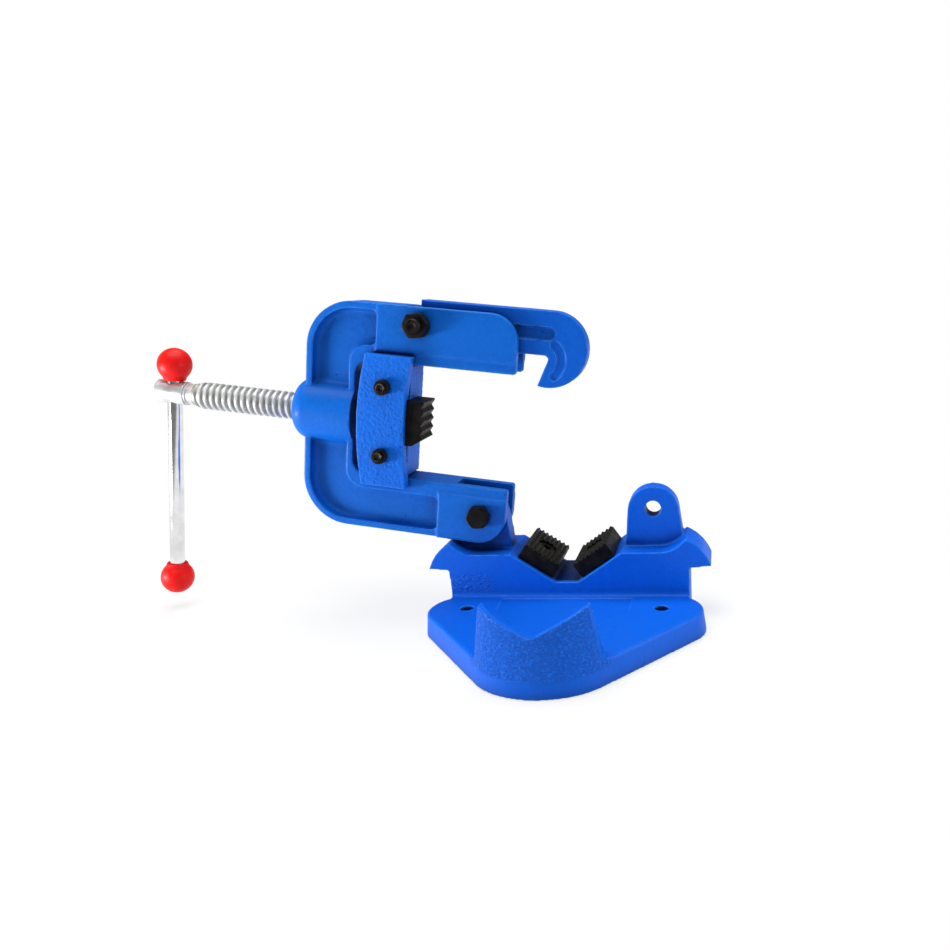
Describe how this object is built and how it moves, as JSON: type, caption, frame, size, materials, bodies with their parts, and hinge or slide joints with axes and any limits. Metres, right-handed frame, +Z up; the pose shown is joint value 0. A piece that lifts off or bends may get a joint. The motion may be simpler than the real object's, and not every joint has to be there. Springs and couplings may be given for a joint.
{
  "type": "yoke pipe vise",
  "caption": "Hinged yoke pipe vise: blue cast saddle with toothed vee jaws, screw-driven upper jaw, swinging hook and a sliding bar handle, shown swung open.",
  "frame": {"origin": "on the bench face, midway between the two bench bolt holes", "axes": "+X along the saddle, away from the hinge of the yoke; +Y back along the clamped pipe, from the pipe rest to the saddle; +Z up, out of the bench"},
  "size_m": [0.4257, 0.1761, 0.2252],
  "materials": {
    "blue_paint": "glossy blue enamel over rough cast iron",
    "blackened_steel": "black oxide, satin",
    "bright_steel": "bright zinc plate",
    "red_knob": "glossy red moulding"
  },
  "bodies": {
    "base": {"base_casting": "blue_paint", "lower_jaw_left": "blackened_steel", "lower_jaw_right": "blackened_steel", "lower_jaw_screws": "blackened_steel"},
    "yoke": {"yoke_casting": "blue_paint", "hinge_bolt": "blackened_steel", "hinge_nut": "blackened_steel", "hinge_washer": "blackened_steel", "hook_bolt": "blackened_steel", "hook_nut": "blackened_steel", "hook_washer": "blackened_steel"},
    "hook_arm": {"hook": "blue_paint"},
    "carrier": {"carrier_front_plate": "blue_paint", "carrier_back_casting": "blue_paint", "upper_jaw": "blackened_steel", "upper_jaw_screw": "blackened_steel", "carrier_bolts": "blackened_steel", "carrier_nuts": "blackened_steel", "spindle_retaining_pin": "blackened_steel"},
    "screw": {"spindle": "bright_steel"},
    "handle": {"handle_bar": "bright_steel", "handle_ball_upper": "red_knob", "handle_ball_lower": "red_knob"}
  },
  "joints": [
    {"name": "yoke_hinge", "type": "hinge", "parent": "base", "child": "yoke", "pos_m": [-0.06, 0.0455, 0.071], "axis": [0, 1, 0], "range_deg": [0, 81]},
    {"name": "hook_pivot", "type": "hinge", "parent": "yoke", "child": "hook_arm", "pos_m": [-0.09013, 0.0455, 0.20486], "axis": [0, -1, 0], "range_deg": [0, 44]},
    {"name": "carrier_slide", "type": "slide", "parent": "yoke", "child": "carrier", "axis": [0.9877, 0, -0.1564], "range_m": [-0.003, 0.06]},
    {"name": "screw_turn", "type": "hinge", "parent": "carrier", "child": "screw", "pos_m": [-0.12716, 0.0455, 0.14239], "axis": [0.9877, 0, -0.1564], "range_deg": [-216, 4320]},
    {"name": "handle_slide", "type": "slide", "parent": "screw", "child": "handle", "axis": [0.1564, 0, 0.9877], "range_m": [0, 0.1239]}
  ],
  "couplings": [
    {"joint": "hook_pivot", "follows": "yoke_hinge", "ratio": 0.5432},
    {"joint": "screw_turn", "follows": "carrier_slide", "rad_per_m": 1256.6}
  ]
}
